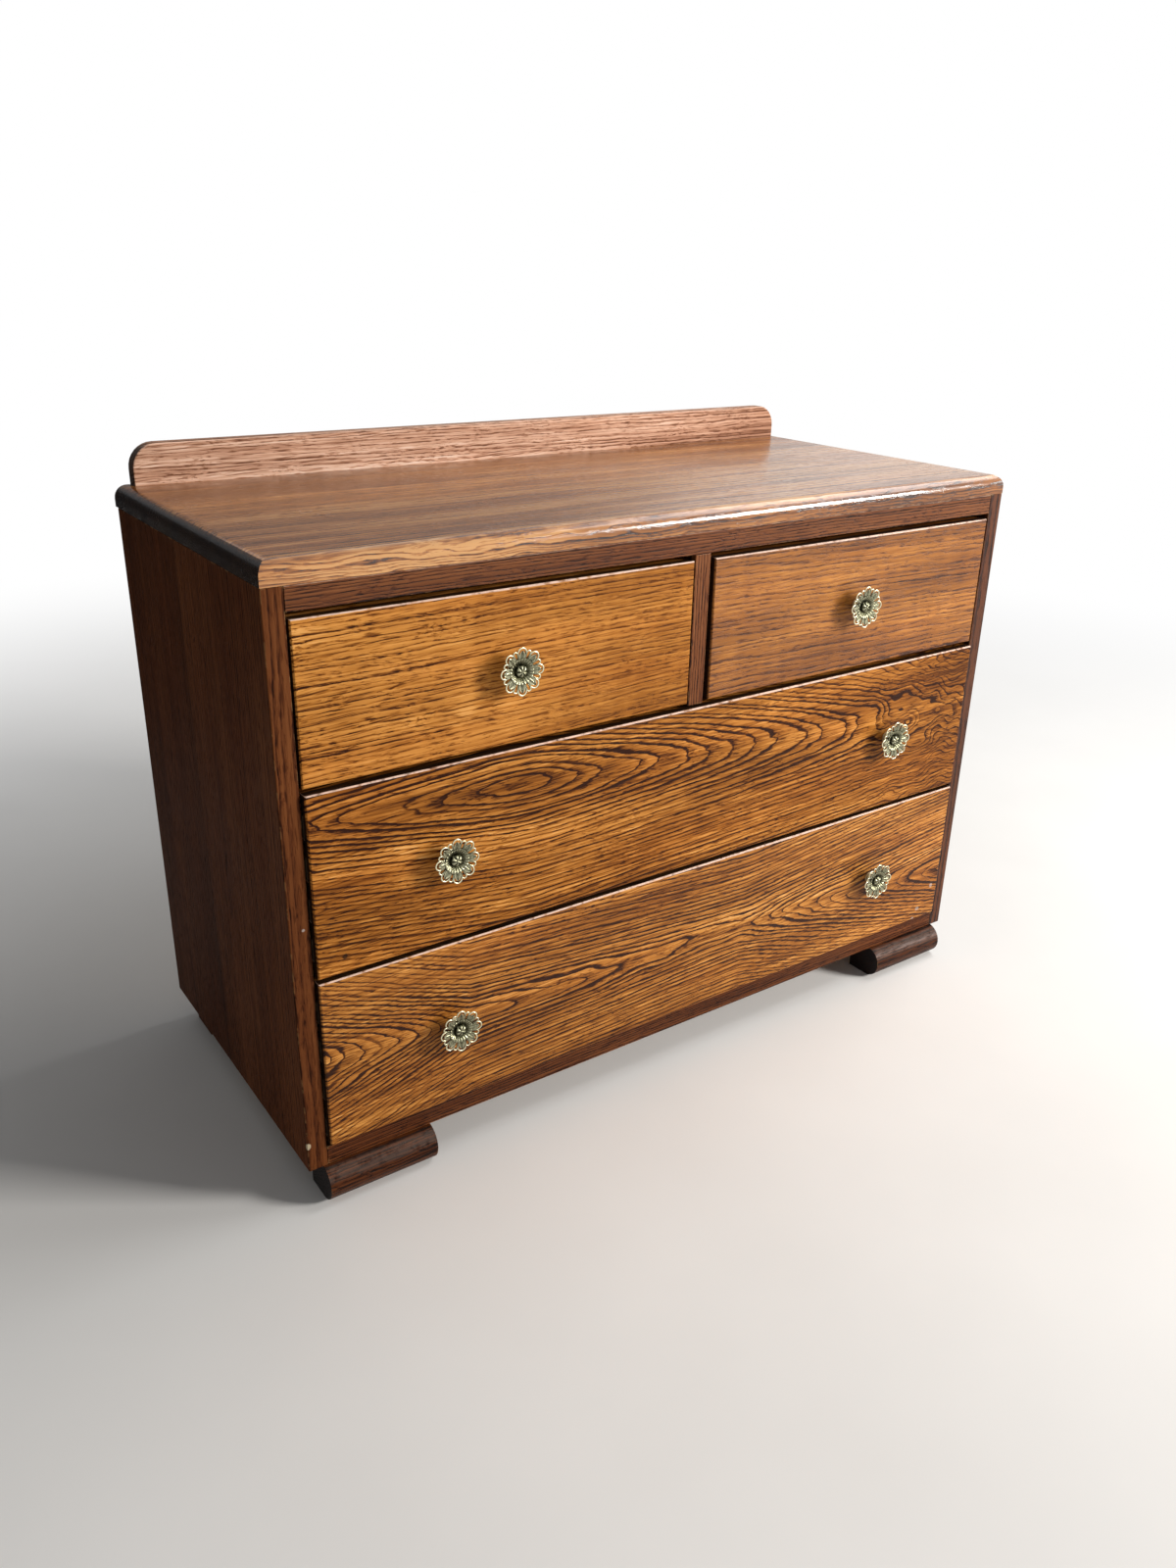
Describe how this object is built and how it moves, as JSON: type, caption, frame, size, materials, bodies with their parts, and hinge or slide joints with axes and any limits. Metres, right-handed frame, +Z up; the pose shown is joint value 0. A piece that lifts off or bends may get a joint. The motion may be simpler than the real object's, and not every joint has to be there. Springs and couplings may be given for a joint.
{
  "type": "dresser",
  "caption": "Low wooden dresser with small drawers over long ones, bullnosed top, low back upstand, round-nosed block feet and openwork flower knobs.",
  "frame": {"origin": "middle of the footprint, on the floor", "axes": "+X along the width, to the right seen from the front, +Y from front to back, +Z up"},
  "size_m": [0.914, 0.4238, 0.6815],
  "materials": {
    "case_wood": "dark red-brown stained oak, satin varnish",
    "top_wood": "red-brown stained oak, satin to gloss varnish",
    "front_wood": "golden-brown oak with dark grain, satin varnish",
    "lining_wood": "bare planed softwood",
    "plywood": "bare thin plywood",
    "brass": "aged cast brass, bright on the raised edges and dark in the recesses"
  },
  "bodies": {
    "carcass": {"side_left": "case_wood", "side_right": "case_wood", "top_front_rail": "case_wood", "bottom_front_rail": "case_wood", "upper_drawer_rail": "case_wood", "lower_drawer_rail": "case_wood", "top_rear_rail": "case_wood", "upper_rear_rail": "case_wood", "bottom_rear_rail": "case_wood", "centre_divider": "case_wood", "front_foot_left": "case_wood", "front_foot_right": "case_wood", "rear_foot_left": "case_wood", "rear_foot_right": "case_wood", "top_board": "top_wood", "back_upstand": "top_wood", "kicker_left": "lining_wood", "kicker_right": "lining_wood", "upper_runner_left": "lining_wood", "upper_runner_right": "lining_wood", "middle_runner_left": "lining_wood", "middle_runner_right": "lining_wood", "bottom_runner_left": "lining_wood", "bottom_runner_right": "lining_wood", "centre_runner": "lining_wood", "centre_guide": "lining_wood", "back_panel": "plywood"},
    "drawer_small_left": {"small_left_front": "front_wood", "small_left_side_left": "lining_wood", "small_left_side_right": "lining_wood", "small_left_back": "lining_wood", "small_left_bottom": "plywood", "knob_stem_small_left_middle": "brass", "knob_flower_small_left_middle": "brass"},
    "drawer_small_right": {"small_right_front": "front_wood", "small_right_side_left": "lining_wood", "small_right_side_right": "lining_wood", "small_right_back": "lining_wood", "small_right_bottom": "plywood", "knob_stem_small_right_middle": "brass", "knob_flower_small_right_middle": "brass"},
    "drawer_long_upper": {"long_upper_front": "front_wood", "long_upper_side_left": "lining_wood", "long_upper_side_right": "lining_wood", "long_upper_back": "lining_wood", "long_upper_bottom": "plywood", "knob_stem_long_upper_left": "brass", "knob_flower_long_upper_left": "brass", "knob_stem_long_upper_right": "brass", "knob_flower_long_upper_right": "brass"},
    "drawer_long_lower": {"long_lower_front": "front_wood", "long_lower_side_left": "lining_wood", "long_lower_side_right": "lining_wood", "long_lower_back": "lining_wood", "long_lower_bottom": "plywood", "knob_stem_long_lower_left": "brass", "knob_flower_long_lower_left": "brass", "knob_stem_long_lower_right": "brass", "knob_flower_long_lower_right": "brass"}
  },
  "joints": [
    {"name": "small_left_slide", "type": "slide", "parent": "carcass", "child": "drawer_small_left", "axis": [0, -1, 0], "range_m": [0, 0.27]},
    {"name": "small_right_slide", "type": "slide", "parent": "carcass", "child": "drawer_small_right", "axis": [0, -1, 0], "range_m": [0, 0.27]},
    {"name": "long_upper_slide", "type": "slide", "parent": "carcass", "child": "drawer_long_upper", "axis": [0, -1, 0], "range_m": [0, 0.27]},
    {"name": "long_lower_slide", "type": "slide", "parent": "carcass", "child": "drawer_long_lower", "axis": [0, -1, 0], "range_m": [0, 0.27]}
  ]
}
